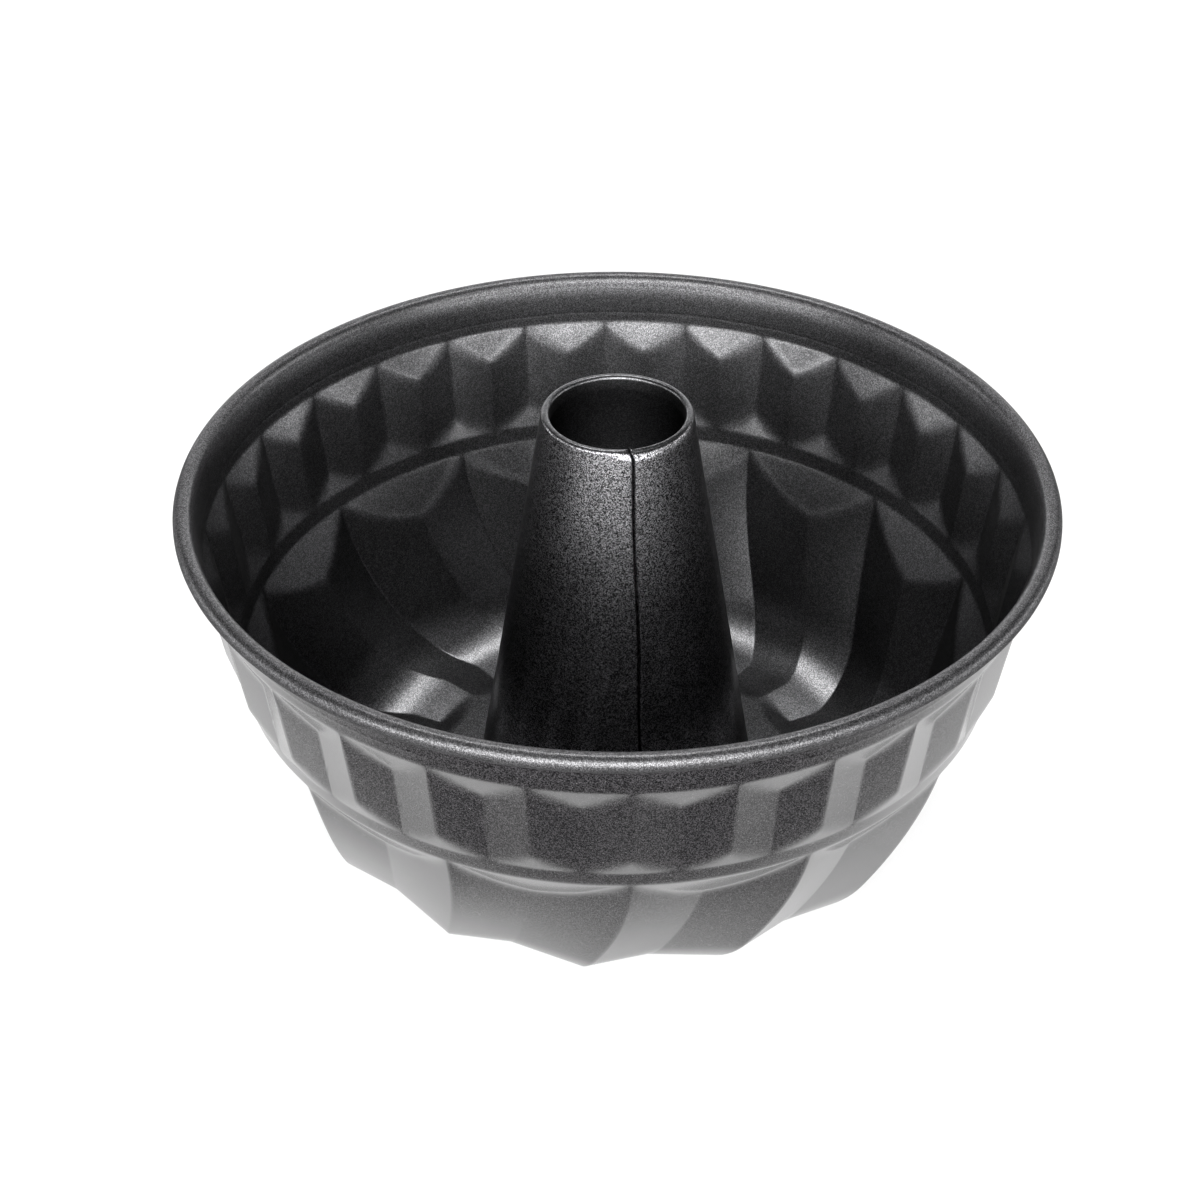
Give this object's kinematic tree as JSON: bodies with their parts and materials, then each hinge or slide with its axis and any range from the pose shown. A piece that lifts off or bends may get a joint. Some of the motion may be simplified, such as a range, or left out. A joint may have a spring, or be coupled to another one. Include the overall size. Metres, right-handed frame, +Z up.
{
  "type": "kugelhopf mould",
  "caption": "Round ring-cake mould with a faceted band, swirled flutes, a rolled rim and a tapered central chimney tube, in dark coated steel.",
  "frame": {"origin": "centre of the mould's axis on the table that it stands on", "axes": "+Z up along the mould's axis, out of the open rim; the first flute crest leaves the plain ring at -Y"},
  "size_m": [0.23, 0.23, 0.1227],
  "materials": {
    "shell_coating": "dark graphite non-stick coating with a fine metallic fleck, satin",
    "chimney_coating": "the same dark coating on the rolled tube, a little coarser in grain, satin",
    "rim_wire_steel": "plain drawn steel, hidden inside the rolled rim"
  },
  "bodies": {
    "root": {"mould_shell": "shell_coating", "chimney_tube": "chimney_coating", "rim_wire": "rim_wire_steel"}
  },
  "joints": []
}
